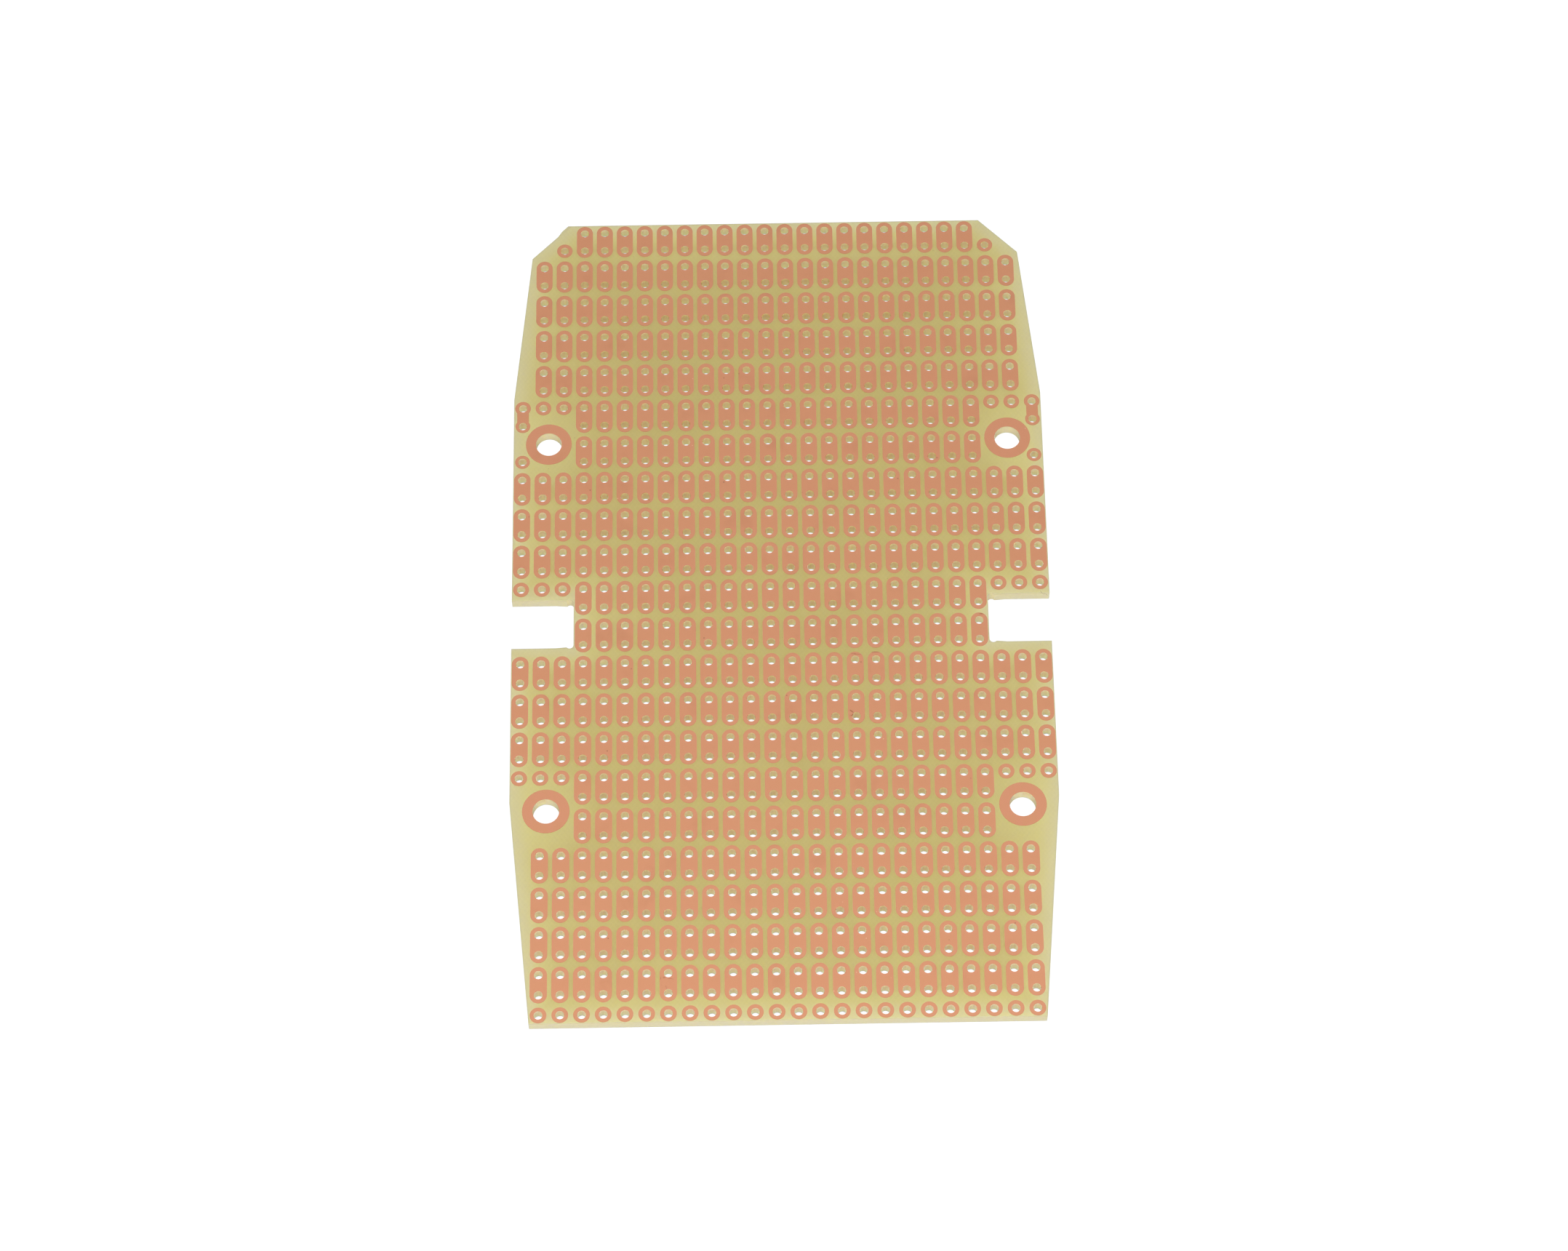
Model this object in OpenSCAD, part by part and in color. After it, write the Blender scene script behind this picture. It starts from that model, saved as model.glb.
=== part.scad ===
// Prototype board: a single-sided sheet of glass laminate, drilled on a tenth-of-an-inch grid.
// Every lead hole has its own copper, etched in islands that join two holes or stand alone.
// The far end is chamfered, both sides taper, and a notch is routed into each side at the waist.
// The sheet lies on z = 0 with its copper upwards, and its length runs along Y.

/* [Hole grid] */
// Distance between neighbouring lead holes, one tenth of an inch
pitch = 2.54; // [2.3:0.01:2.8]
// Columns of lead holes across the board
columns = 26; // [22:2:30]
// Rows of lead holes along the board
rows = 43; // [39:2:47]
// Bore of a lead hole
lead_hole_d = 1.05; // [0.8:0.05:1.3]

/* [Laminate] */
// Thickness of the laminate
board_t = 1.6; // [0.8:0.1:3.2]
// Bare strip between the outermost columns' pads and the straight sides
side_strip = 0.105; // [0.05:0.005:2]
// Bare strip between the farthest row's pads and the far edge
far_strip = 0.155; // [0.05:0.005:2]
// Bare strip between the nearest row's pads and the near edge
near_strip = 0.05; // [0.03:0.01:2]
// Leg of the chamfers across the far corners
far_chamfer = 4.8; // [2:0.1:8]
// How far the shoulders below the chamfers lie inside the straight sides
shoulder_inset = 2.11; // [0:0.01:4]
// Length of the taper from the shoulders to the straight sides
far_taper = 20.55; // [10:0.05:24]
// How far the near corners lie inside the straight sides
near_inset = 2.54; // [0:0.01:4]
// Length of the taper from the straight sides to the near corners
near_taper = 28.27; // [15:0.01:32]

/* [Side notches] */
// Opening of a notch along the side
notch_w = 6.54; // [5:0.02:9]
// Depth of a notch from the straight side
notch_depth = 7.57; // [5:0.01:10]
// Radius of the cutter that cleared the inner corners
notch_relief_r = 0.48; // [0.2:0.01:1]
// How far the cutter ran past the flank in the inner corners
notch_relief_over = 0.06; // [0:0.01:0.2]
// Height of the lip that the cutter left between a relief and the flank
notch_lip = 0.1; // [0:0.01:0.3]
// Length over which that lip runs out
notch_lip_run = 1.2; // [0.5:0.1:3]

/* [Routing witness] */
// How far the left chamfer stands proud above the place where the cutter started
witness_step = 0.2; // [0:0.01:0.5]
// Drop of that place from the far edge
witness_drop = 1.6; // [1.2:0.05:3]
// Height over which the cutter ran in
witness_run = 0.85; // [0.3:0.05:1]

/* [Mounting holes] */
// Bore of a mounting hole
mount_hole_d = 3.2; // [2:0.1:4]
// Spacing of the mounting holes across the board
mount_spacing_x = 57; // [50:0.5:58]
// Spacing of the mounting holes along the board
mount_spacing_y = 50; // [44:0.5:56]
// Outer diameter of the copper ring round a mounting hole
ring_od = 5.7; // [4.8:0.05:6.2]
// How far the waist, where notches and mounting holes are centred, lies below the grid's middle
waist_offset = 2.22; // [0:0.01:4]

/* [Copper] */
// Thickness of the copper foil
foil_t = 0.035; // [0.035:0.035:0.21]
// Width of a pad that joins two holes
pair_pad_w = 2.03; // [1.5:0.01:2.1]
// Diameter of a pad with one hole
single_pad_d = 1.96; // [1.5:0.01:2.1]
// Diameter of a pad end that stands close to a mounting ring
tight_pad_d = 1.83; // [1.4:0.01:1.95]
// Diameter of the wide end of a necked pad
necked_pad_d = 1.94; // [1.5:0.01:2.1]
// Width of the neck between the two ends of a necked pad
neck_w = 1.45; // [0.6:0.01:1.5]
// Least copper-free strip along the board's edge
edge_gap = 0.03; // [0.01:0.01:0.05]
// Least gap between a mounting ring and a pad of full size
ring_gap = 0.4; // [0.3:0.01:1]
// Least gap between a mounting ring and a tight pad end
tight_gap = 0.3; // [0.2:0.01:0.4]

/* [Hidden] */
$fn = 32;
// Overrun of the drills above and below the sheet
drill_over = 0.5;
laminate_colour = [0.78, 0.73, 0.46];
copper_colour = [0.79, 0.56, 0.43];

// From the outermost holes to the edges: the nearest row stands alone, the others hold both kinds of pad
side_margin = max(pair_pad_w, single_pad_d) / 2 + side_strip;
far_margin = max(pair_pad_w, single_pad_d) / 2 + far_strip;
near_margin = single_pad_d / 2 + near_strip;

half_width = (columns - 1) * pitch / 2 + side_margin;
board_length = (rows - 1) * pitch + far_margin + near_margin;
far_y = board_length / 2;
near_y = -far_y;
grid_y = (near_margin - far_margin) / 2;
waist_y = grid_y - waist_offset;

// A notch's inner face and half its width, the centre of its corner relief, and where the lip starts
notch_x = half_width - notch_depth;
flank = notch_w / 2;
relief = [notch_x + notch_relief_r, flank + notch_relief_over - notch_relief_r];
lip_x = relief.x + notch_relief_r;

// Corners of the right side, from the far edge to the near edge
far_corner = [half_width - shoulder_inset - far_chamfer, far_y];
shoulder = far_corner + [far_chamfer, -far_chamfer];
far_bend = [half_width, shoulder.y - far_taper];
near_bend = [half_width, near_y + near_taper];
near_corner = [half_width - near_inset, near_y];
right_side = [far_corner, shoulder, far_bend, near_bend, near_corner];

// The left chamfer's lower part is the right one's mirror image, and its upper part stands proud
witness_shift = [-witness_step * sqrt(2), 0];
witness_low = [-far_corner.x - witness_drop, far_y - witness_drop];
witness_rise = [witness_run, witness_run];
left_far_corner = [-far_corner.x, far_y] + witness_shift;
witness_high = witness_low + witness_rise + witness_shift;

mount_places = [for (sx = [-1, 1], sy = [-1, 1])
    [sx * mount_spacing_x / 2, waist_y + sy * mount_spacing_y / 2]];

// Where a hole of the grid lies, with column 0 at the left and row 0 at the far edge
function hole_at(col, row) =
    [(col - (columns - 1) / 2) * pitch, grid_y + ((rows - 1) / 2 - row) * pitch];

// How far a point lies inside the line from a to b, where b follows a on the right side
function inside(p, a, b) = -cross(b - a, p - a) / norm(b - a);

// Least distance from a point on the board to its edges, notches included
function edge_room(p) =
    let (
        q = [abs(p.x), p.y],
        sides = [for (k = [0:len(right_side) - 2]) inside(q, right_side[k], right_side[k + 1])],
        to_notch = [max(notch_x - q.x, 0), max(abs(q.y - waist_y) - notch_w / 2, 0)]
    )
    min(concat(sides, [far_y - q.y, q.y - near_y, norm(to_notch)]));

// Least distance from a point to the outside of a mounting ring
function ring_room(p) = min([for (m = mount_places) norm(p - m)]) - ring_od / 2;

// Whether copper of a diameter keeps its gap to the board's edge, or to the rings
function clears_edge(col, row, d) = row < rows && edge_room(hole_at(col, row)) >= d / 2 + edge_gap;
function clears_rings(col, row, d, gap) = ring_room(hole_at(col, row)) >= d / 2 + gap;

function fits_pair_end(col, row) =
    clears_edge(col, row, pair_pad_w) && clears_rings(col, row, pair_pad_w, ring_gap);
function fits_single(col, row) =
    clears_edge(col, row, single_pad_d) && clears_rings(col, row, single_pad_d, ring_gap);
// A tight pad takes the place of a full one that a ring leaves no room for, but not of one at the edge
function fits_tight(col, row) =
    clears_edge(col, row, single_pad_d) && clears_rings(col, row, tight_pad_d, tight_gap);

// Rows are taken in pairs: both holes share one pad where both have room for its full width
function is_pair(col, row) = fits_pair_end(col, row) && fits_pair_end(col, row + 1);
// A necked pad keeps the pair joined where its near end is close to a ring
function is_necked(col, row) =
    !is_pair(col, row) && fits_pair_end(col, row) && fits_tight(col, row + 1);
// What is left of a pair stands alone
function is_alone(col, row) =
    let (first = row - row % 2) !is_pair(col, first) && !is_necked(col, first);

pair_count = floor(rows / 2);
last_row = 2 * pair_count;
all_columns = [0:columns - 1];
all_pairs = [0:pair_count - 1];
paired_rows = [0:last_row - 1];

// Where the far hole of each joined pad of the kth pair of rows lies
function pair_places(k) = [for (col = all_columns) if (is_pair(col, 2 * k)) hole_at(col, 2 * k)];
function necked_places(k) = [for (col = all_columns) if (is_necked(col, 2 * k)) hole_at(col, 2 * k)];
two_hole_places = [for (k = all_pairs) each concat(pair_places(k), necked_places(k))];
side_places = [for (row = paired_rows, col = all_columns)
    if (is_alone(col, row) && fits_single(col, row)) hole_at(col, row)];
tight_places = [for (row = paired_rows, col = all_columns)
    if (is_alone(col, row) && !fits_single(col, row) && fits_tight(col, row)) hole_at(col, row)];
near_row_places = [for (row = [last_row:1:rows - 1], col = all_columns)
    if (fits_single(col, row)) hole_at(col, row)];

down = [0, -pitch];
lead_places = concat(
    two_hole_places, [for (p = two_hole_places) p + down], side_places, tight_places, near_row_places);

// Laminate that the cutter leaves in an inner corner of a notch, and the lip that runs out beside it
module notch_corner() {
    polygon([
        [notch_x - pitch, relief.y], relief, [relief.x, flank - notch_lip], [lip_x, flank - notch_lip],
        [lip_x + notch_lip_run, flank], [notch_x - pitch, flank]]);
}

// The right notch, as the cutter leaves it
module notch_cut() {
    translate([0, waist_y]) {
        difference() {
            translate([notch_x, -flank]) square([notch_depth + pitch, notch_w]);
            for (m = [0, 1]) mirror([0, m]) notch_corner();
        }
        for (m = [0, 1]) mirror([0, m]) translate(relief) circle(notch_relief_r);
    }
}

// Outline of the sheet
module board_outline() {
    difference() {
        polygon(concat(
            right_side,
            [for (k = [len(right_side) - 1:-1:1]) [-right_side[k].x, right_side[k].y]],
            [witness_low, witness_high, left_far_corner]));
        notch_cut();
        mirror([1, 0]) notch_cut();
    }
}

module drill(d) {
    translate([0, 0, -drill_over]) cylinder(h = board_t + 2 * drill_over, d = d);
}

module laminate() {
    color(laminate_colour)
        difference() {
            linear_extrude(board_t) board_outline();
            for (p = lead_places) translate(p) drill(lead_hole_d);
            for (p = mount_places) translate(p) drill(mount_hole_d);
        }
}

// Copper etched to the shape of its children, on top of the sheet
module foil() {
    color(copper_colour) translate([0, 0, board_t]) linear_extrude(foil_t) children();
}

module round_pad(d, hole_d) {
    difference() {
        circle(d = d);
        circle(d = hole_d);
    }
}

// Pad round a hole and the next one below it, with ends and a waist of their own widths
module two_hole_pad(far_d, near_d, waist) {
    difference() {
        union() {
            circle(d = far_d);
            translate(down) circle(d = near_d);
            translate([-waist / 2, -pitch]) square([waist, pitch]);
        }
        circle(d = lead_hole_d);
        translate(down) circle(d = lead_hole_d);
    }
}

// Joined pads of the kth pair of rows, necked ones included
module pad_row(k) {
    for (p = pair_places(k)) foil() translate(p) two_hole_pad(pair_pad_w, pair_pad_w, pair_pad_w);
    for (p = necked_places(k)) foil() translate(p) two_hole_pad(necked_pad_d, tight_pad_d, neck_w);
}

module near_row_pads() {
    for (p = near_row_places) foil() translate(p) round_pad(single_pad_d, lead_hole_d);
}

// What stands alone among the pairs, tight pads included
module side_pads() {
    for (p = side_places) foil() translate(p) round_pad(single_pad_d, lead_hole_d);
    for (p = tight_places) foil() translate(p) round_pad(tight_pad_d, lead_hole_d);
}

module mounting_rings() {
    for (p = mount_places) foil() translate(p) round_pad(ring_od, mount_hole_d);
}

laminate();
for (k = [1:pair_count]) pad_row(k - 1);
near_row_pads();
side_pads();
mounting_rings();
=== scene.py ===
"""Looks of the prototype board: finishes for its laminate and copper, the marks of use, the studio.

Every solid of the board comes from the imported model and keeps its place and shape. This script
gives the sheet and the copper islands their finishes, adds the fine marks that lie on them, and
sets up the floor, the light and the camera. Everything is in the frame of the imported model.
Finishes and marks are measured in millimetres, and the studio and the camera in metres.
"""

import logging
import math
from dataclasses import dataclass, field
from enum import Enum

import bmesh
import bpy
from mathutils import Matrix, Vector


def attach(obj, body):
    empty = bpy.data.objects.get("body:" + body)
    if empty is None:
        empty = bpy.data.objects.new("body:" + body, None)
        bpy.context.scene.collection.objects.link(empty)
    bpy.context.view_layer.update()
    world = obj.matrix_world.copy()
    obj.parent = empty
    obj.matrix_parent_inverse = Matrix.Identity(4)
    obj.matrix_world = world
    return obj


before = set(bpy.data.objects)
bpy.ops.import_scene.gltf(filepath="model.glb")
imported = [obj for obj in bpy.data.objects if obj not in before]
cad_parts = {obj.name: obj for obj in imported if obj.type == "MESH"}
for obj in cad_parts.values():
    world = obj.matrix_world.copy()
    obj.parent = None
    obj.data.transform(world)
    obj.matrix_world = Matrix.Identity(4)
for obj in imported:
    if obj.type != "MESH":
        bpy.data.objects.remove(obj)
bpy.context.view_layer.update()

MM = 0.001
PER_MM = 1000.0
BODY = "root"

log = logging.getLogger("prototype_board")

Colour = tuple[float, float, float]
Point = tuple[float, float, float]
Place = tuple[float, float]
Socket = bpy.types.NodeSocket
Feed = Socket | float | tuple[float, ...]

WHITE: Colour = (1.0, 1.0, 1.0)
EVENLY: Point = (1.0, 1.0, 1.0)

# The curve by which a screen shows linear light: a straight foot, then a power
CURVE_FOOT = 0.04045
FOOT_SLOPE = 12.92
CURVE_LIFT = 0.055
CURVE_POWER = 2.4


class Sum(Enum):
    """Arithmetic that node work can do on plain numbers."""

    ADD = "ADD"
    SUBTRACT = "SUBTRACT"
    MULTIPLY = "MULTIPLY"
    DIVIDE = "DIVIDE"
    POWER = "POWER"
    MAXIMUM = "MAXIMUM"
    MINIMUM = "MINIMUM"
    ABSOLUTE = "ABSOLUTE"
    FRACTION = "FRACT"
    SINE = "SINE"
    ROOT = "SQRT"


class Blend(Enum):
    """Ways of laying one colour over another."""

    MIX = "MIX"
    MULTIPLY = "MULTIPLY"


class Slot(Enum):
    """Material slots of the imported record."""

    LAMINATE = "laminate"
    COPPER = "copper"


@dataclass(frozen=True)
class Fade:
    """A smooth turn of a level, as a measured number goes from a start to an end."""

    start: float
    end: float
    before: Feed = 0.0
    after: Feed = 1.0


@dataclass(frozen=True)
class Clouds:
    """Soft noise: clouds per millimetre, finer layers, how strong those are, and its stretch."""

    scale: float
    detail: float
    roughness: float = 0.5
    stretch: Point = EVENLY


@dataclass(frozen=True)
class Specks:
    """Small soft spots that are scattered over a surface.

    They lie in even cells, so many to the millimetre. The reach is a spot's radius in cells, and
    the share tells how many cells hold one.
    """

    scale: float
    reach: float
    share: float
    strength: float
    stretch: Point = EVENLY
    core: float = 0.4
    sureness: float = 0.9


@dataclass(frozen=True)
class Relief:
    """A bump: how high its highest places stand in millimetres, and how much of it is used."""

    height: float
    strength: float


def linear(colour: Colour) -> Colour:
    """Turns a colour as a screen shows it, from 0 to 1, into the linear one a shader takes.

    Args:
        colour: Red, green and blue as they look on a screen.

    Returns:
        The same colour in linear light.
    """
    parts = []
    for part in colour:
        on_curve = ((part + CURVE_LIFT) / (1.0 + CURVE_LIFT)) ** CURVE_POWER
        parts.append(part / FOOT_SLOPE if part <= CURVE_FOOT else on_curve)
    return tuple(parts)


class NodeWork:
    """A tree of shader nodes that are added and joined one by one."""

    def __init__(self, tree: bpy.types.NodeTree, end: str) -> None:
        """Clears a tree and adds the node that it ends in.

        Args:
            tree: The tree.
            end: Blender's name for the sort of node that it ends in.
        """
        self.tree = tree
        self.tree.nodes.clear()
        self.end = self.add(end)

    def add(
            self, kind: str, feeds: dict[str | int, Feed] | None = None,
            **settings: object) -> bpy.types.Node:
        """Adds a node.

        Args:
            kind: Blender's name for the sort of node.
            feeds: What goes into its inputs, by the input's name or number.
            settings: Values for the node's own properties.

        Returns:
            The new node.
        """
        node = self.tree.nodes.new(kind)
        for key, value in settings.items():
            setattr(node, key, value)
        for key, value in (feeds or {}).items():
            self.feed(node.inputs[key], value)
        return node

    def feed(self, target: Socket, value: Feed) -> None:
        """Joins a socket to an input, or sets the input to a plain value.

        Args:
            target: The input.
            value: A socket, a number, a vector, or a colour as it looks on a screen.
        """
        if isinstance(value, bpy.types.NodeSocket):
            self.tree.links.new(value, target)
        elif isinstance(value, tuple) and target.type == "RGBA":
            target.default_value = (*linear(value), 1.0)
        else:
            target.default_value = value

    def finish(self, surface: Socket) -> None:
        """Joins the shader that is seen to the end of the tree."""
        self.feed(self.end.inputs["Surface"], surface)

    def sum(self, kind: Sum, first: Feed, second: Feed = 0.0, clamp: bool = False) -> Socket:
        """Does one step of arithmetic, and keeps its result between 0 and 1 where clamped."""
        feeds = {0: first, 1: second}
        return self.add("ShaderNodeMath", feeds, operation=kind.value, use_clamp=clamp).outputs[0]

    def plus(self, first: Feed, second: Feed) -> Socket:
        """Adds two numbers."""
        return self.sum(Sum.ADD, first, second)

    def less(self, first: Feed, second: Feed) -> Socket:
        """Takes the second number from the first."""
        return self.sum(Sum.SUBTRACT, first, second)

    def times(self, first: Feed, *others: Feed) -> Socket:
        """Multiplies numbers.

        Args:
            first: First number.
            others: All the other numbers.

        Returns:
            Their product.
        """
        product = first
        for other in others:
            product = self.sum(Sum.MULTIPLY, product, other)
        return product

    def larger(self, first: Feed, second: Feed) -> Socket:
        """Gives the larger of two numbers."""
        return self.sum(Sum.MAXIMUM, first, second)

    def smaller(self, first: Feed, second: Feed) -> Socket:
        """Gives the smaller of two numbers."""
        return self.sum(Sum.MINIMUM, first, second)

    def size(self, value: Feed) -> Socket:
        """Gives a number without its sign."""
        return self.sum(Sum.ABSOLUTE, value)

    def fade(self, value: Feed, turn: Fade) -> Socket:
        """Turns a number smoothly from one level to another.

        Args:
            value: The number that is looked at.
            turn: Where the turn starts and ends, and the levels before and after it.

        Returns:
            The level.
        """
        feeds = {
            "Value": value, "From Min": turn.start, "From Max": turn.end,
            "To Min": turn.before, "To Max": turn.after}
        node = self.add("ShaderNodeMapRange", feeds, interpolation_type="SMOOTHSTEP")
        return node.outputs["Result"]

    def mix(self, amount: Feed, base: Feed, top: Feed, kind: Blend = Blend.MIX) -> Socket:
        """Lays an amount of an upper colour over a base."""
        feeds = {0: amount, 6: base, 7: top}
        return self.add("ShaderNodeMix", feeds, data_type="RGBA", blend_type=kind.value).outputs[2]

    def shade(self, colour: Feed, level: Feed) -> Socket:
        """Makes a colour or a vector so many times as strong."""
        feeds = {0: colour, "Scale": level}
        return self.add("ShaderNodeVectorMath", feeds, operation="SCALE").outputs[0]

    def place_mm(self) -> Socket:
        """Gives the place on the board in millimetres."""
        coordinates = self.add("ShaderNodeTexCoord").outputs["Object"]
        return self.shade(coordinates, PER_MM)

    def split(self, vector: Socket) -> tuple[Socket, Socket, Socket]:
        """Takes a vector apart into its three parts."""
        node = self.add("ShaderNodeSeparateXYZ", {0: vector})
        return node.outputs[0], node.outputs[1], node.outputs[2]

    def length(self, across: Socket, along: Socket) -> Socket:
        """Gives the length of a flat vector from its two parts."""
        squares = [self.times(part, part) for part in (across, along)]
        return self.sum(Sum.ROOT, self.plus(*squares))

    def stretch(self, vector: Socket, factors: Point) -> Socket:
        """Multiplies each part of a vector by its own factor."""
        feeds = {0: vector, 1: factors}
        return self.add("ShaderNodeVectorMath", feeds, operation="MULTIPLY").outputs[0]

    def clouds(self, place: Socket, clouds: Clouds) -> Socket:
        """Gives soft cloudy noise.

        Args:
            place: Place on the board in millimetres.
            clouds: What the noise is like.

        Returns:
            Noise from about 0.25 to 0.75.
        """
        feeds = {
            "Vector": self.stretch(place, clouds.stretch), "Scale": clouds.scale,
            "Detail": clouds.detail, "Roughness": clouds.roughness}
        return self.add("ShaderNodeTexNoise", feeds).outputs["Fac"]

    def specks(self, place: Socket, specks: Specks) -> Socket:
        """Scatters small soft spots.

        Args:
            place: Place on the board in millimetres.
            specks: What the spots are like.

        Returns:
            The spots' strength inside a spot, and 0 outside.
        """
        feeds = {"Vector": self.stretch(place, specks.stretch), "Scale": specks.scale}
        cells = self.add("ShaderNodeTexVoronoi", feeds)
        reach = Fade(specks.reach, specks.reach * specks.core)
        near = self.fade(cells.outputs["Distance"], reach)
        chance = self.add("ShaderNodeSeparateColor", {0: cells.outputs["Color"]}).outputs[0]
        chosen = self.fade(chance, Fade(specks.share, specks.share * specks.sureness))
        return self.times(near, chosen, specks.strength)

    def bump(self, height: Feed, relief: Relief) -> Socket:
        """Turns a height from 0 to 1 into a bent surface normal."""
        feeds = {"Height": height, "Distance": relief.height * MM, "Strength": relief.strength}
        return self.add("ShaderNodeBump", feeds).outputs["Normal"]

    def seen_directly(self) -> Socket:
        """Tells what a camera sees, also in gloss or through glass, from what lights the board."""
        path = self.add("ShaderNodeLightPath").outputs
        seen = self.larger(path["Is Camera Ray"], path["Is Glossy Ray"])
        return self.larger(seen, path["Is Transmission Ray"])


class Recipe(NodeWork):
    """A material that is made up of nodes."""

    def __init__(self, name: str) -> None:
        """Starts a material that has only its output.

        Args:
            name: Name of the new material.
        """
        self.material = bpy.data.materials.new(name)
        self.material.use_nodes = True
        super().__init__(self.material.node_tree, "ShaderNodeOutputMaterial")

    def cover(self, surface: Socket) -> bpy.types.Material:
        """Finishes the material with the shader that is seen."""
        self.finish(surface)
        return self.material


@dataclass(frozen=True)
class HoleGrid:
    """The even grid of lead holes, for finishes that change around holes and pads.

    Holes go in pairs along the board, and the line of a pair joins the middles of its two holes.
    """

    pitch: float = 2.54
    first_row_y: float = 53.27
    middle_row_y: float = -0.07
    gap_inset: float = 0.1
    band_outset: float = 0.6
    near_side: Fade = Fade(0.05, -0.05)

    def nearest(self, recipe: Recipe, value: Socket, middle: float, period: float) -> Socket:
        """Measures how far a coordinate lies from the nearest line of an even row of lines.

        Args:
            recipe: The material that this is for.
            value: The coordinate.
            middle: Where one of the lines lies.
            period: Distance between neighbouring lines.

        Returns:
            The signed distance.
        """
        turns = recipe.sum(Sum.DIVIDE, recipe.less(value, middle), period)
        part = recipe.sum(Sum.FRACTION, recipe.plus(turns, 0.5))
        return recipe.times(recipe.less(part, 0.5), period)

    def across_column(self, recipe: Recipe, place: Socket) -> Socket:
        """Measures how far a place lies to the right of the nearest column of holes."""
        x = recipe.split(place)[0]
        return self.nearest(recipe, x, self.pitch / 2, self.pitch)

    def along_pair(self, recipe: Recipe, place: Socket) -> Socket:
        """Measures how far a place lies beyond the middle of the nearest pair of holes."""
        y = recipe.split(place)[1]
        return self.nearest(recipe, y, self.first_row_y - self.pitch / 2, 2 * self.pitch)

    def from_hole(self, recipe: Recipe, place: Socket) -> Socket:
        """Measures the distance to the middle of the nearest lead hole.

        Args:
            recipe: The material that this is for.
            place: Place on the board.

        Returns:
            The distance.
        """
        y = recipe.split(place)[1]
        along = self.nearest(recipe, y, self.middle_row_y, self.pitch)
        return recipe.length(self.across_column(recipe, place), along)

    def from_pair_line(self, recipe: Recipe, place: Socket) -> Socket:
        """Measures the distance to the line of the nearest pair.

        Args:
            recipe: The material that this is for.
            place: Place on the board.

        Returns:
            The distance.
        """
        beyond = recipe.less(recipe.size(self.along_pair(recipe, place)), self.pitch / 2)
        past_end = recipe.larger(beyond, 0.0)
        return recipe.length(self.across_column(recipe, place), past_end)

    def beside_pair(self, recipe: Recipe, place: Socket, band_level: float) -> Socket:
        """Tells the gaps beside the pairs from the bands between their ends.

        Args:
            recipe: The material that this is for.
            place: Place on the board.
            band_level: Level in the bands.

        Returns:
            1 in the gaps, and the level that was asked for in the bands.
        """
        half = self.pitch / 2
        into_gap = Fade(half + self.band_outset, half - self.gap_inset, band_level)
        return recipe.fade(recipe.size(self.along_pair(recipe, place)), into_gap)

    def near_of_pair(self, recipe: Recipe, place: Socket) -> Socket:
        """Gives 1 by the near hole of a pair and 0 by the far one."""
        return recipe.fade(self.along_pair(recipe, place), self.near_side)


@dataclass(frozen=True)
class RoutedOutline:
    """The routed outline, for finishes that change towards the board's edges.

    The board is the same left and right, so only the corners of its right half are kept, from the
    far end to the near one. The first sides of it, the far edge and the chamfer, are the far end.
    """

    corners: tuple[Place, ...] = (
        (0.0, 54.44), (25.96, 54.44), (30.76, 49.64), (32.87, 29.09), (32.87, -26.17),
        (30.33, -54.44), (0.0, -54.44))
    far_sides: int = 2
    notch_x: float = 25.30
    waist_y: float = -2.29
    notch_half: float = 3.27
    ring_x: float = 28.50
    ring_from_waist: float = 25.00

    def from_waist(self, recipe: Recipe, place: Socket) -> Socket:
        """Measures how far along the board a place lies from the waist."""
        y = recipe.split(place)[1]
        return recipe.size(recipe.less(y, self.waist_y))

    def from_ring(self, recipe: Recipe, place: Socket) -> Socket:
        """Measures how far a place lies from the middle of the nearest mounting hole.

        Args:
            recipe: The material that this is for.
            place: Place on the board.

        Returns:
            The distance.
        """
        x = recipe.split(place)[0]
        across = recipe.less(recipe.size(x), self.ring_x)
        return recipe.length(
            across, recipe.less(self.from_waist(recipe, place), self.ring_from_waist))

    def rooms(self, recipe: Recipe, place: Socket) -> tuple[Socket, Socket]:
        """Measures how far a place lies inside the nearest edge.

        Args:
            recipe: The material that this is for.
            place: Place on the board.

        Returns:
            The distance to any edge, and the distance to any but the far end's.
        """
        x, y, _ = recipe.split(place)
        side = recipe.size(x)
        past_notch = recipe.larger(recipe.less(self.notch_x, side), 0.0)
        beside_notch = recipe.larger(
            recipe.less(self.from_waist(recipe, place), self.notch_half), 0.0)
        rooms = [recipe.length(past_notch, beside_notch)]
        for (ax, ay), (bx, by) in reversed(list(zip(self.corners, self.corners[1:]))):
            size = math.hypot(bx - ax, by - ay)
            out_x, out_y = (ay - by) / size, (bx - ax) / size
            reach = recipe.plus(recipe.times(side, out_x), recipe.times(y, out_y))
            inside = recipe.less(ax * out_x + ay * out_y, reach)
            rooms.append(recipe.smaller(rooms[-1], inside))
        return rooms[-1], rooms[-1 - self.far_sides]


@dataclass(frozen=True)
class Surface:
    """What is measured at a place on the laminate, for the colours that depend on it.

    It holds the place on the board, the distance to the nearest edge, the same without the far
    end, how far the surface faces to the left or right, the weave, a fine grain, and fibres that
    are drawn out along the plies.
    """

    place: Socket
    room: Socket
    lit_room: Socket
    sideways: Socket
    weave: Socket
    grain: Socket
    fibres: Socket


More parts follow.
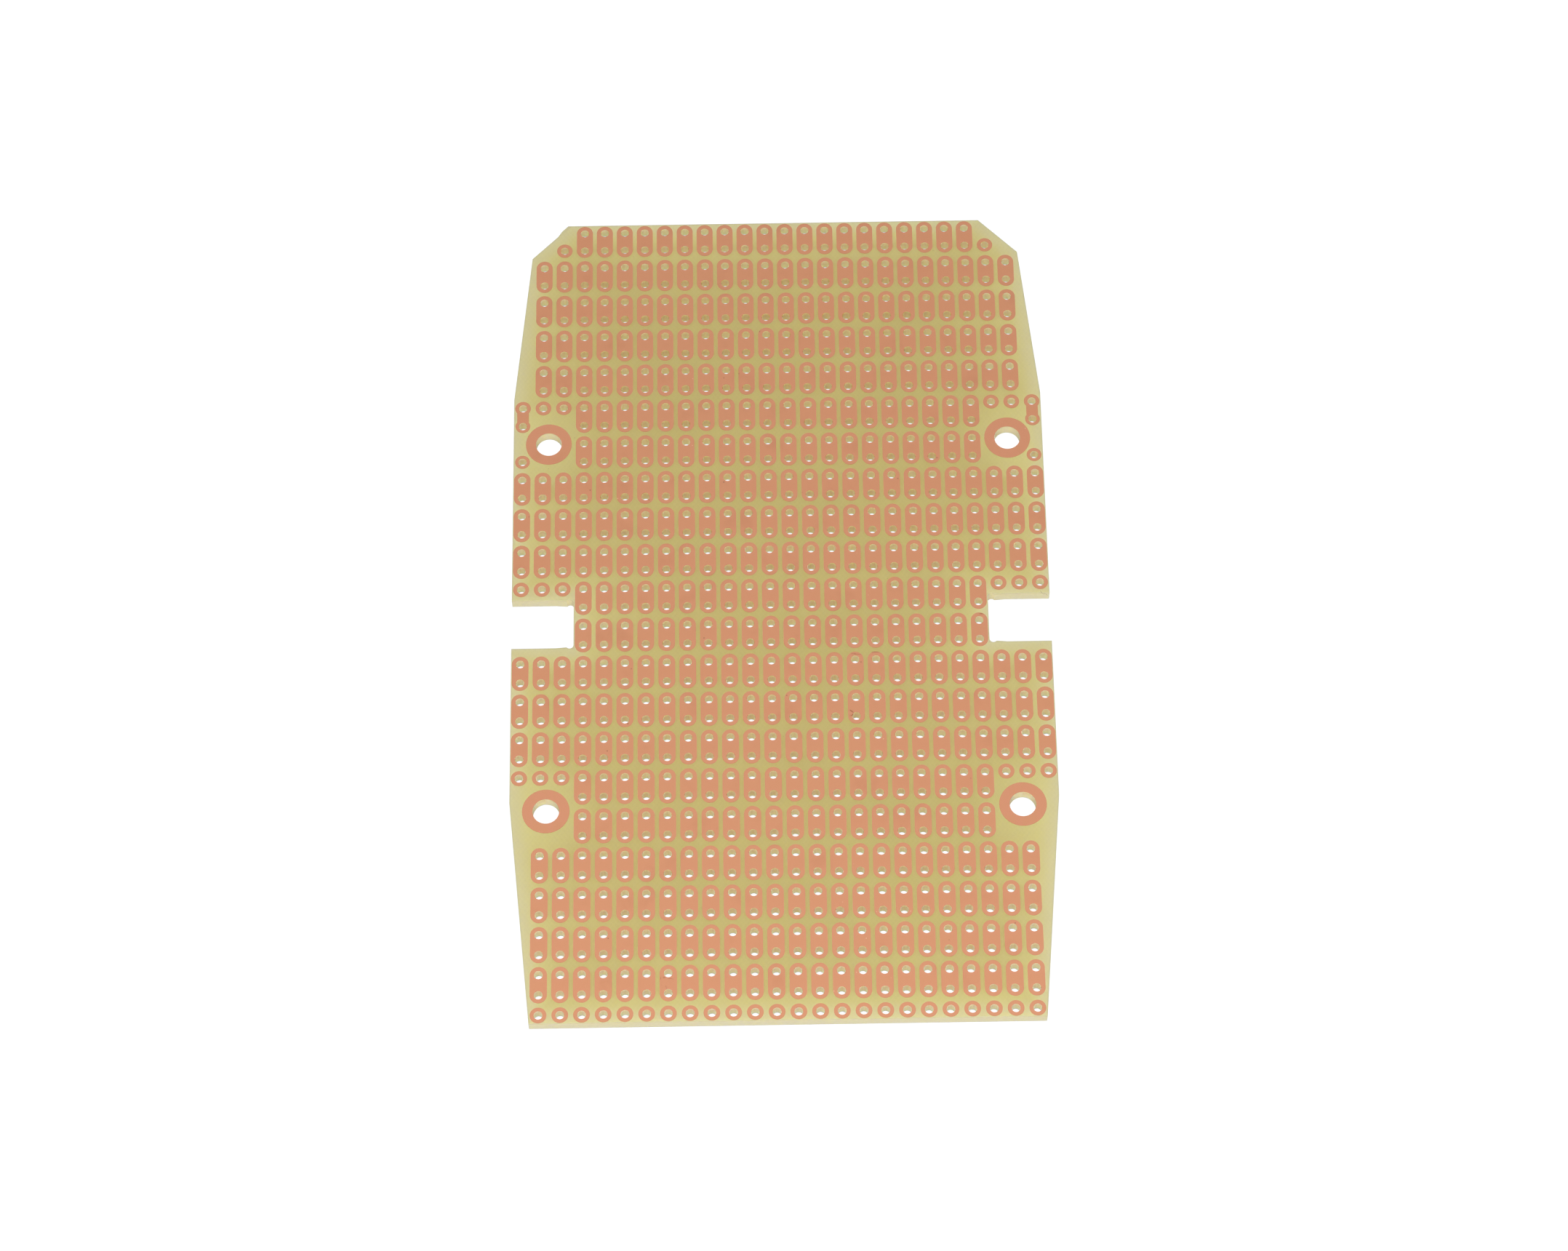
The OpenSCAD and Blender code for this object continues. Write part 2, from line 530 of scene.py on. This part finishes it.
@dataclass(frozen=True)
class LaminateFinish:
    """Glass-fibre laminate: pale, slightly translucent, woven, with paler cut edges."""

    grid: HoleGrid = HoleGrid()
    outline: RoutedOutline = RoutedOutline()

    # Flat faces: painted shade amid the pads, which keep light out of the sheet; painted light in
    # the open, by the rings and along the routed edge
    shaded_resin: Colour = (0.810, 0.751, 0.464)
    lit_resin: Colour = (0.880, 0.843, 0.574)
    edge_lit_resin: Colour = (0.868, 0.832, 0.640)
    light_falloff_per_mm: float = 0.81
    ring_light: Fade = Fade(6.5, 3.0, 0.0, 0.25)
    edge_light_band: Fade = Fade(2.4, 0.0)
    rim_level: Fade = Fade(0.0, 0.25, 0.92, 1.0)
    stains: Clouds = Clouds(0.09, 3.0)
    stain_level: Fade = Fade(0.35, 0.65, 1.0, 0.97)
    face_level: float = 0.965
    weave_level: float = 0.012
    grain_level: float = 0.07
    dirt: Specks = Specks(0.55, 0.045, 0.5, 0.55)
    dirt_colour: Colour = (0.62, 0.56, 0.36)

    # Shade of the copper on the faces, away from the routed edge and the mounting rings
    pad_shade: Colour = (0.795, 0.705, 0.425)
    by_pad: Fade = Fade(1.5, 1.05, 0.0, 0.55)
    band_share: float = 0.4
    off_edge: Fade = Fade(2.2, 4.0)
    off_ring: Fade = Fade(5.2, 6.4)

    # Routed edge: paler, with its plies and fibres, and deeper along its upper corner
    cut_edge: Colour = (0.961, 0.915, 0.745)
    cut_corner: Colour = (0.865, 0.805, 0.625)
    corner: Fade = Fade(1.3, 1.6)
    ply: float = 0.2
    cut_level: float = 0.82
    ply_level: float = 0.02
    fibre_level: float = 0.36

    # Hole walls, painted light and shade: lighter towards the board's edges, at their foot and at
    # their sides, darker at the near hole of a pair and along their top
    lit_far_wall: Colour = (0.972, 0.920, 0.655)
    shaded_near_wall: Colour = (0.948, 0.877, 0.560)
    lit_wall: Colour = (1.0, 0.970, 0.800)
    wall_light_falloff_per_mm: float = 0.84
    near_edge_lit: Fade = Fade(12.0, 1.0, 0.0, 0.85)
    hole_lit: Fade = Fade(0.0, 1.0, 1.0, 0.7)
    top_wall_shade: Colour = (0.905, 0.872, 0.865)
    shaded_top: Fade = Fade(0.3, 1.5)
    lit_foot_wall: Colour = (1.0, 1.0, 0.96)
    foot: Fade = Fade(0.18, 0.0)
    side_wall_light: Fade = Fade(0.35, 1.0, 1.0, 1.10)

    # Where the surface is cut, and where the cut is a lead hole's wall
    steep: Fade = Fade(0.7, 0.4)
    by_hole: Fade = Fade(0.7, 0.65)
    off_outline: Fade = Fade(0.15, 0.4)

    # Texture
    warp_pitch: float = 0.58
    weft_pitch: float = 0.79
    grain: Clouds = Clouds(2.5, 4.0, 0.7)
    fibres: Clouds = Clouds(2.2, 4.0, 0.75, (1.0, 1.0, 6.0))
    weave_relief: float = 0.15
    smooth_relief: Colour = (0.5, 0.5, 0.5)
    relief: Relief = Relief(0.01, 0.6)

    # Gloss, and light inside the sheet
    roughness: float = 0.42
    cut_roughness: float = 0.85
    wall_roughness: float = 0.25
    refraction: float = 1.5
    sub_weight: float = 1.0
    sub_radius: Colour = (0.75, 0.80, 0.42)
    sub_scale: float = 1.5 * MM
    cut_sub_scale: float = 0.6 * MM
    sub_forward: float = 0.2

    def wave(self, recipe: Recipe, value: Socket, period: float) -> Socket:
        """Gives an even wave from -1 to 1 along one coordinate."""
        return recipe.sum(Sum.SINE, recipe.times(value, math.tau / period))

    def measure(self, recipe: Recipe, place: Socket, sideways: Socket) -> Surface:
        """Measures what the colours depend on.

        Args:
            recipe: The material that this is for.
            place: Place on the board.
            sideways: How far the surface faces to the left or right, from 0 to 1.

        Returns:
            What is measured there.
        """
        x, y, _ = recipe.split(place)
        room, lit_room = self.outline.rooms(recipe, place)
        weave = recipe.times(
            self.wave(recipe, x, self.warp_pitch), self.wave(recipe, y, self.weft_pitch))
        grain, fibres = recipe.clouds(place, self.grain), recipe.clouds(place, self.fibres)
        return Surface(place, room, lit_room, sideways, weave, grain, fibres)

    def beside_pads(self, recipe: Recipe, surface: Surface, from_ring: Socket) -> Socket:
        """Finds the shade that the pads cast on the faces beside them.

        Args:
            recipe: The material that this is for.
            surface: What is measured at the place.
            from_ring: Distance to the middle of the nearest mounting hole.

        Returns:
            How much of the shade shows, from 0 to 1.
        """
        return recipe.times(
            recipe.fade(self.grid.from_pair_line(recipe, surface.place), self.by_pad),
            self.grid.beside_pair(recipe, surface.place, self.band_share),
            recipe.fade(surface.room, self.off_edge), recipe.fade(from_ring, self.off_ring))

    def face_colour(self, recipe: Recipe, surface: Surface) -> Socket:
        """Mixes the colour of the flat faces, with painted light where no pads cover the sheet and
        along the routed edge, and painted shade beside the pads.

        Args:
            recipe: The material that this is for.
            surface: What is measured at the place.

        Returns:
            The colour.
        """
        from_ring = self.outline.from_ring(recipe, surface.place)
        # Painted light: the sheet is lighter where it lies open to the light, away from the pads
        # and by the mounting rings
        light_share = recipe.sum(Sum.POWER, self.light_falloff_per_mm, surface.room)
        light_share = recipe.sum(
            Sum.ADD, light_share, recipe.fade(from_ring, self.ring_light), clamp=True)
        face = recipe.mix(light_share, self.shaded_resin, self.lit_resin)
        # Painted light along the routed edge, where light gets into the sheet through the cut
        face = recipe.mix(recipe.fade(surface.room, self.edge_light_band), face, self.edge_lit_resin)
        face = recipe.mix(self.beside_pads(recipe, surface, from_ring), face, self.pad_shade)

        level = recipe.plus(recipe.times(surface.weave, self.weave_level), self.face_level)
        level = recipe.plus(level, recipe.times(surface.grain, self.grain_level))
        stains = recipe.clouds(surface.place, self.stains)
        level = recipe.times(
            level, recipe.fade(surface.room, self.rim_level),
            recipe.fade(stains, self.stain_level))
        dirt = recipe.specks(surface.place, self.dirt)
        return recipe.mix(dirt, recipe.shade(face, level), self.dirt_colour)

    def cut_colour(self, recipe: Recipe, surface: Surface) -> Socket:
        """Mixes the colour of the routed edge.

        Args:
            recipe: The material that this is for.
            surface: What is measured at the place.

        Returns:
            The colour.
        """
        height = recipe.split(surface.place)[2]
        edge = recipe.mix(recipe.fade(height, self.corner), self.cut_edge, self.cut_corner)
        plies = self.wave(recipe, height, self.ply)
        level = recipe.plus(recipe.times(plies, self.ply_level), self.cut_level)
        level = recipe.plus(level, recipe.times(surface.fibres, self.fibre_level))
        return recipe.shade(edge, level)

    def wall_colour(self, recipe: Recipe, surface: Surface) -> Socket:
        """Mixes the colour of the drilled hole walls, with painted light and shade.

        Args:
            recipe: The material that this is for.
            surface: What is measured at the place.

        Returns:
            The colour.
        """
        near_hole = self.grid.near_of_pair(recipe, surface.place)
        # Painted light and shade: the wall of the far hole of a pair lighter, that of the near hole
        # darker
        wall = recipe.mix(near_hole, self.lit_far_wall, self.shaded_near_wall)
        # Painted light: walls lighter towards the board's edges, less so in the near hole of a pair
        lit = recipe.sum(Sum.POWER, self.wall_light_falloff_per_mm, surface.lit_room)
        lit = recipe.larger(lit, recipe.fade(surface.room, self.near_edge_lit))
        lit = recipe.times(lit, recipe.fade(near_hole, self.hole_lit))
        wall = recipe.mix(lit, wall, self.lit_wall)

        height = recipe.split(surface.place)[2]
        # Painted shade: the upper part of the wall darker, under the copper layer
        shaded_top = recipe.mix(1.0, wall, self.top_wall_shade, Blend.MULTIPLY)
        wall = recipe.mix(recipe.fade(height, self.shaded_top), wall, shaded_top)
        # Painted light: a near-white band at the foot of the wall, for the white floor's light
        # below the hole
        wall = recipe.mix(recipe.fade(height, self.foot), wall, self.lit_foot_wall)
        # Painted light: walls that face left or right made up to a tenth lighter
        return recipe.shade(wall, recipe.fade(surface.sideways, self.side_wall_light))

    def make(self) -> bpy.types.Material:
        """Mixes the material."""
        recipe = Recipe("laminate_finish")
        place = recipe.place_mm()
        normal = recipe.add("ShaderNodeNewGeometry").outputs["Normal"]
        normal_x, _, normal_z = recipe.split(normal)
        surface = self.measure(recipe, place, recipe.size(normal_x))

        on_cut = recipe.fade(recipe.size(normal_z), self.steep)
        drilled = recipe.times(
            recipe.fade(self.grid.from_hole(recipe, place), self.by_hole),
            recipe.fade(surface.room, self.off_outline))
        on_routed_cut = recipe.times(on_cut, recipe.less(1.0, drilled))
        in_hole = recipe.times(drilled, on_cut)

        colour = recipe.mix(
            on_cut, self.face_colour(recipe, surface), self.cut_colour(recipe, surface))
        colour = recipe.mix(in_hole, colour, self.wall_colour(recipe, surface))
        rough = recipe.fade(on_cut, Fade(0.0, 1.0, self.roughness, self.cut_roughness))
        rough = recipe.fade(in_hole, Fade(0.0, 1.0, rough, self.wall_roughness))
        woven = recipe.plus(recipe.times(surface.weave, self.weave_relief), surface.grain)
        height = recipe.mix(on_cut, woven, surface.fibres)
        height = recipe.mix(in_hole, height, self.smooth_relief)
        sub_scale = recipe.fade(
            on_routed_cut, Fade(0.0, 1.0, self.sub_scale, self.cut_sub_scale))

        feeds = {
            "Base Color": colour, "Roughness": rough, "IOR": self.refraction,
            "Normal": recipe.bump(height, self.relief),
            "Subsurface Weight": self.sub_weight, "Subsurface Radius": self.sub_radius,
            "Subsurface Scale": sub_scale, "Subsurface Anisotropy": self.sub_forward}
        skin = recipe.add("ShaderNodeBsdfPrincipled", feeds, subsurface_method="RANDOM_WALK")
        return recipe.cover(skin.outputs["BSDF"])


@dataclass(frozen=True)
class CopperFinish:
    """Bare copper foil: satin, finely scratched, with pinker rims round the pads and holes.

    A rim starts so far from the edge of the hole or pad, and is full at so much less.
    """

    grid: HoleGrid = HoleGrid()
    middle: Colour = (0.746, 0.528, 0.402)
    rim: Colour = (0.752, 0.526, 0.409)
    hole_radius: float = 0.525
    hole_rim: float = 0.36
    hole_rim_full: float = 0.12
    pad_half: float = 1.015
    pad_rim: float = 0.22
    pad_rim_full: float = 0.06

    tarnish: Colour = (0.64, 0.43, 0.32)
    tarnish_clouds: Clouds = Clouds(0.22, 3.0, 0.6)
    tarnished: Fade = Fade(0.52, 0.78, 0.0, 0.22)
    rolled: Clouds = Clouds(1.6, 4.0, 0.7, (7.0, 0.8, 1.0))
    brushed: Clouds = Clouds(1.3, 4.0, 0.7, (0.9, 8.0, 1.0))
    line_level: float = 0.06
    level: float = 0.94
    spots: Specks = Specks(0.42, 0.05, 0.45, 0.6)
    spot_colour: Colour = (0.42, 0.28, 0.22)
    dust: Specks = Specks(0.75, 0.06, 0.12, 0.7, (1.0, 1.3, 1.0))
    dust_colour: Colour = (0.93, 0.80, 0.70)

    metallic: float = 1.0
    roughness: Fade = Fade(0.7, 1.3, 0.41, 0.52)
    relief: Relief = Relief(0.002, 0.5)

    def rims(self, recipe: Recipe, place: Socket) -> Socket:
        """Finds the rims round the holes and along the pads.

        Args:
            recipe: The material that this is for.
            place: Place on the board.

        Returns:
            1 on a rim and 0 off it.
        """
        by_hole = recipe.fade(self.grid.from_hole(recipe, place), Fade(
            self.hole_radius + self.hole_rim, self.hole_radius + self.hole_rim_full))
        by_edge = recipe.fade(self.grid.from_pair_line(recipe, place), Fade(
            self.pad_half - self.pad_rim, self.pad_half - self.pad_rim_full))
        return recipe.larger(by_hole, by_edge)

    def make(self) -> bpy.types.Material:
        """Mixes the material."""
        recipe = Recipe("copper_finish")
        place = recipe.place_mm()
        colour = recipe.mix(self.rims(recipe, place), self.middle, self.rim)
        tarnish = recipe.fade(recipe.clouds(place, self.tarnish_clouds), self.tarnished)
        colour = recipe.mix(tarnish, colour, self.tarnish)

        lines = recipe.plus(
            recipe.clouds(place, self.rolled), recipe.clouds(place, self.brushed))
        level = recipe.plus(recipe.times(lines, self.line_level), self.level)
        colour = recipe.shade(colour, level)
        colour = recipe.mix(recipe.specks(place, self.spots), colour, self.spot_colour)
        colour = recipe.mix(recipe.specks(place, self.dust), colour, self.dust_colour)

        feeds = {
            "Base Color": colour, "Metallic": self.metallic,
            "Roughness": recipe.fade(lines, self.roughness),
            "Normal": recipe.bump(lines, self.relief)}
        metal = recipe.add("ShaderNodeBsdfPrincipled", feeds)
        return recipe.cover(metal.outputs["BSDF"])


@dataclass(frozen=True)
class MarkFinish:
    """Dull finish of a fine mark, uneven along its run."""

    name: str
    colour: Colour
    pale: Colour
    clouds: Clouds = Clouds(3.0, 4.0, 0.7)
    paled: Fade = Fade(0.38, 0.66)
    roughness: float = 0.7
    relief: Relief = Relief(0.004, 0.5)

    def make(self) -> bpy.types.Material:
        """Mixes the material."""
        recipe = Recipe(self.name)
        clouds = recipe.clouds(recipe.place_mm(), self.clouds)
        feeds = {
            "Base Color": recipe.mix(recipe.fade(clouds, self.paled), self.colour, self.pale),
            "Roughness": self.roughness, "Normal": recipe.bump(clouds, self.relief)}
        dull = recipe.add("ShaderNodeBsdfPrincipled", feeds)
        return recipe.cover(dull.outputs["BSDF"])


@dataclass(frozen=True)
class FloorFinish:
    """Plain white floor that a camera sees as white paper with the board's faint shadow."""

    paper: Colour = (0.93, 0.93, 0.93)
    seen_paper: Colour = (0.35, 0.35, 0.35)
    glow: float = 0.98

    def make(self) -> bpy.types.Material:
        """Mixes the material."""
        recipe = Recipe("floor_finish")
        lit = recipe.add("ShaderNodeBsdfDiffuse", {"Color": self.paper})
        shadowed = recipe.add("ShaderNodeBsdfDiffuse", {"Color": self.seen_paper})
        light = recipe.add("ShaderNodeEmission", {"Color": WHITE, "Strength": self.glow})
        seen = recipe.add("ShaderNodeAddShader", {0: shadowed.outputs[0], 1: light.outputs[0]})
        feeds = {0: recipe.seen_directly(), 1: lit.outputs[0], 2: seen.outputs[0]}
        return recipe.cover(recipe.add("ShaderNodeMixShader", feeds).outputs[0])


def paint(piece: bpy.types.Object, material: bpy.types.Material) -> None:
    """Puts one material on the whole of a piece.

    Args:
        piece: The piece.
        material: Its finish.
    """
    if not piece.material_slots:
        piece.data.materials.append(material)
    for slot in piece.material_slots:
        slot.material = material


def let_light_past(piece: bpy.types.Object) -> None:
    """Keeps a piece out of the light that the sheet under it or over it takes in."""
    piece.visible_shadow = False
    piece.visible_diffuse = False


def add_piece(
        name: str, work: bmesh.types.BMesh, material: bpy.types.Material) -> bpy.types.Object:
    """Makes a piece of the scene from finished mesh work and fixes it to the board.

    Args:
        name: Name of the piece.
        work: Its mesh work, which is used up.
        material: Its finish.

    Returns:
        The piece.
    """
    mesh = bpy.data.meshes.new(name)
    work.to_mesh(mesh)
    work.free()
    piece = bpy.data.objects.new(name, mesh)
    bpy.context.scene.collection.objects.link(piece)
    paint(piece, material)
    let_light_past(piece)
    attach(piece, BODY)
    return piece


@dataclass
class LaminateSheet:
    """The drilled and routed sheet of glass laminate."""

    node: str = "laminate"
    finish: LaminateFinish = field(default_factory=LaminateFinish)

    def dress(self) -> list[str]:
        """Gives the sheet its finish, and names it."""
        paint(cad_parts[self.node], self.finish.make())
        return [self.node]


@dataclass
class CopperIslands:
    """All the etched copper: rows of joined pads, single pads and the rings."""

    sheet_node: str = "laminate"
    finish: CopperFinish = field(default_factory=CopperFinish)

    def dress(self) -> list[str]:
        """Gives the copper its finish.

        Returns:
            Names of the pieces that were dressed.
        """
        material = self.finish.make()
        names = [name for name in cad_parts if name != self.sheet_node]
        for name in names:
            paint(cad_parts[name], material)
            let_light_past(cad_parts[name])
        return names


@dataclass(frozen=True)
class Stroke:
    """The run of one fine mark: the points that it passes, and its greatest width."""

    points: tuple[Point, ...]
    width: float
    steps: int = 5
    end_share: float = 0.3

    def run(self) -> list[Vector]:
        """Rounds the points off into a soft run.

        Returns:
            Points of the run in metres.
        """
        marks = [Vector(point) * MM for point in self.points]
        padded = [marks[0], *marks, marks[-1]]
        soft = []
        for before, start, end, after in zip(padded, padded[1:], padded[2:], padded[3:]):
            for step in range(self.steps):
                t = step / self.steps
                bend = (end - before) * t + (before * 2 - start * 5 + end * 4 - after) * t ** 2
                soft.append(start + (bend + (start * 3 - before - end * 3 + after) * t ** 3) / 2)
        return [*soft, marks[-1]]

    def swell(self, part: float) -> float:
        """Gives half the width in metres at a part of the run, narrower towards its ends."""
        share = self.end_share + (1.0 - self.end_share) * math.sin(math.pi * part)
        return self.width * MM / 2 * share

    def stations(self) -> list[tuple[Vector, Vector, float]]:
        """Walks along the run.

        Returns:
            Each point of the run, the way that the run heads there, and half its width there.
        """
        points = self.run()
        last = len(points) - 1
        return [
            (point, points[min(index + 1, last)] - points[max(index - 1, 0)],
             self.swell(index / last))
            for index, point in enumerate(points)]


@dataclass
class WearMarks:
    """Marks of use: a glass strand torn loose at the right notch, and marks on the copper."""

    strand: Stroke = Stroke((
        (31.73, 1.37, 1.603), (31.79, 1.17, 1.603), (31.92, 0.99, 1.60), (32.11, 0.96, 1.37),
        (32.33, 0.96, 1.36), (32.47, 0.96, 1.30), (32.61, 0.96, 1.00), (32.82, 0.96, 0.88)), 0.065)
    strand_sides: int = 6
    strand_finish: MarkFinish = MarkFinish(
        "strand_finish", (0.60, 0.56, 0.41), (0.76, 0.73, 0.58))
    stain_finish: MarkFinish = MarkFinish(
        "stain_finish", (0.60, 0.35, 0.22), (0.72, 0.47, 0.33))
    copper_top: float = 1.635
    lift: float = 0.003

    # Width of each stain and scratch on the copper, and the places that it passes
    stain_runs: tuple[tuple[float, tuple[Place, ...]], ...] = (
        (0.10, ((8.40, -6.89), (8.75, -6.92), (9.10, -7.00), (9.63, -7.07))),
        (0.10, ((10.87, -6.80), (11.32, -6.73), (11.76, -6.79))),
        (0.14, ((8.05, -14.49), (8.22, -14.59), (8.40, -14.74), (8.57, -14.93))),
        (0.13, ((8.03, -15.28), (8.30, -15.23), (8.48, -15.04))),
        (0.14, ((24.17, -1.80), (24.44, -1.75), (24.66, -1.82))),
        (0.13, ((-14.60, -48.94), (-14.43, -48.86), (-14.26, -48.87))),
        (0.06, ((-14.90, -48.79), (-14.86, -48.97), (-14.88, -49.16))),
        (0.06, ((-14.13, -48.99), (-13.87, -49.03), (-13.62, -49.03), (-13.36, -49.14))),
        (0.05, ((-14.30, -49.90), (-14.22, -50.09), (-14.15, -50.31))),
        (0.07, ((-14.83, -49.40), (-14.80, -49.46))),
        (0.07, ((-14.81, -49.77), (-14.79, -49.83))),
        (0.11, ((6.84, -48.60), (6.90, -48.72))))

    def stains(self) -> list[Stroke]:
        """Lays the stains and scratches just above the copper."""
        height = self.copper_top + self.lift
        return [
            Stroke(tuple((x, y, height) for x, y in run), width) for width, run in self.stain_runs]

    def build_strand(self) -> bpy.types.Object:
        """Builds the loose strand as a fine round thread.

        Returns:
            The piece.
        """
        thread = bmesh.new()
        angles = [math.tau * side / self.strand_sides for side in range(self.strand_sides)]
        rings = []
        for point, ahead, half in self.strand.stations():
            turn = ahead.to_track_quat("Z", "Y").to_matrix()
            spokes = [turn @ Vector((math.cos(a), math.sin(a), 0.0)) for a in angles]
            rings.append([thread.verts.new(point + spoke * half) for spoke in spokes])
        for low, high in zip(rings, rings[1:]):
            for side in range(self.strand_sides):
                after = (side + 1) % self.strand_sides
                quad = (low[side], low[after], high[after], high[side])
                thread.faces.new(quad).smooth = True
        thread.faces.new(list(reversed(rings[0])))
        thread.faces.new(rings[-1])
        return add_piece("loose_strand", thread, self.strand_finish.make())

    def build_stains(self) -> bpy.types.Object:
        """Builds the stains as thin films on the pads.

        Returns:
            The piece.
        """
        film = bmesh.new()
        for stroke in self.stains():
            edges = []
            for point, ahead, half in stroke.stations():
                across = Vector((-ahead.y, ahead.x, 0.0)).normalized() * half
                edges.append((film.verts.new(point + across), film.verts.new(point - across)))
            for (left, right), (next_left, next_right) in zip(edges, edges[1:]):
                film.faces.new((right, next_right, next_left, left))
        return add_piece("copper_stains", film, self.stain_finish.make())

    def build(self) -> list[str]:
        """Builds every mark, and names the pieces."""
        pieces = [self.build_strand(), self.build_stains()]
        return [piece.name for piece in pieces]


@dataclass(frozen=True)
class SoftLamp:
    """A round area lamp that is turned towards the middle of the board."""

    name: str
    place: Point
    size: float
    power: float

    def hang(self) -> bpy.types.Object:
        """Hangs the lamp in its place.

        Returns:
            The lamp.
        """
        lamp = bpy.data.lights.new(self.name, "AREA")
        lamp.shape = "DISK"
        lamp.size = self.size
        lamp.energy = self.power
        holder = bpy.data.objects.new(self.name, lamp)
        bpy.context.scene.collection.objects.link(holder)
        turn = (-Vector(self.place)).to_track_quat("-Z", "Y").to_matrix().to_4x4()
        holder.matrix_world = Matrix.Translation(self.place) @ turn
        return holder


@dataclass
class Studio:
    """White floor, an even white surround, a large soft lamp overhead and a low one in front."""

    floor_half: float = 3.0
    floor_drop: float = 0.02 * MM
    surround: float = 0.44
    overhead: SoftLamp = SoftLamp("overhead_lamp", (0.0, -0.12, 0.75), 0.7, 1.7)
    low: SoftLamp = SoftLamp("low_lamp", (0.0, -0.34, 0.26), 0.3, 0.76)
    finish: FloorFinish = field(default_factory=FloorFinish)

    def build_floor(self) -> bpy.types.Object:
        """Lays the floor just under the board.

        Returns:
            The floor.
        """
        half = self.floor_half
        corners = [(-half, -half), (half, -half), (half, half), (-half, half)]
        mesh = bpy.data.meshes.new("floor")
        mesh.from_pydata([(x, y, -self.floor_drop) for x, y in corners], [], [(0, 1, 2, 3)])
        floor = bpy.data.objects.new("floor", mesh)
        bpy.context.scene.collection.objects.link(floor)
        paint(floor, self.finish.make())
        let_light_past(floor)
        return floor

    def build_surround(self) -> bpy.types.World:
        """Fills the world with even light that looks white to a camera and in gloss.

        Returns:
            The world.
        """
        world = bpy.data.worlds.new("surround")
        world.use_nodes = True
        bpy.context.scene.world = world
        sky = NodeWork(world.node_tree, "ShaderNodeOutputWorld")
        strength = sky.fade(sky.seen_directly(), Fade(0.0, 1.0, self.surround, 1.0))
        light = sky.add("ShaderNodeBackground", {"Color": WHITE, "Strength": strength})
        sky.finish(light.outputs["Background"])
        return world

    def build(self) -> list[str]:
        """Sets up the floor, the surround and the lamps, and names them."""
        things = [
            self.build_floor(), self.build_surround(), self.overhead.hang(), self.low.hang()]
        return [thing.name for thing in things]


@dataclass
class PhotoCamera:
    """Camera at the photograph's place, solved from the grid of lead holes."""

    name: str = "photo_camera"
    place: Point = (-2.102 * MM, -251.018 * MM, 496.476 * MM)
    aim: Point = (0.341 * MM, -2.141 * MM, 0.0)
    roll: float = math.radians(-0.3856)
    lens: float = 104.322
    sensor: float = 36.0
    sees_from: float = 10 * MM
    sees_to: float = 20.0

    def build(self) -> list[str]:
        """Sets up the camera and makes it the scene's own.

        Returns:
            Its name.
        """
        camera = bpy.data.cameras.new(self.name)
        camera.sensor_fit = "AUTO"
        camera.sensor_width = self.sensor
        camera.lens = self.lens
        camera.clip_start = self.sees_from
        camera.clip_end = self.sees_to
        holder = bpy.data.objects.new(self.name, camera)
        bpy.context.scene.collection.objects.link(holder)
        sight = Vector(self.aim) - Vector(self.place)
        turn = sight.to_track_quat("-Z", "Y").to_matrix().to_4x4()
        tilt = Matrix.Rotation(self.roll, 4, "Z")
        holder.matrix_world = Matrix.Translation(self.place) @ turn @ tilt
        bpy.context.scene.camera = holder
        return [holder.name]


def report(assembly: str, names: list[str]) -> None:
    """Reports each piece of a sub-assembly."""
    for name in names:
        log.info("%s: %s", assembly, name)


def main() -> None:
    """Builds and dresses the board, then sets up the studio and the camera."""
    logging.basicConfig(level=logging.INFO, format="%(name)s: %(message)s")
    bpy.context.scene.view_settings.view_transform = "Standard"
    report("laminate sheet", LaminateSheet().dress())
    report("copper islands", CopperIslands().dress())
    report("marks of use", WearMarks().build())
    report("studio", Studio().build())
    report("camera", PhotoCamera().build())


if __name__ == "__main__":
    main()
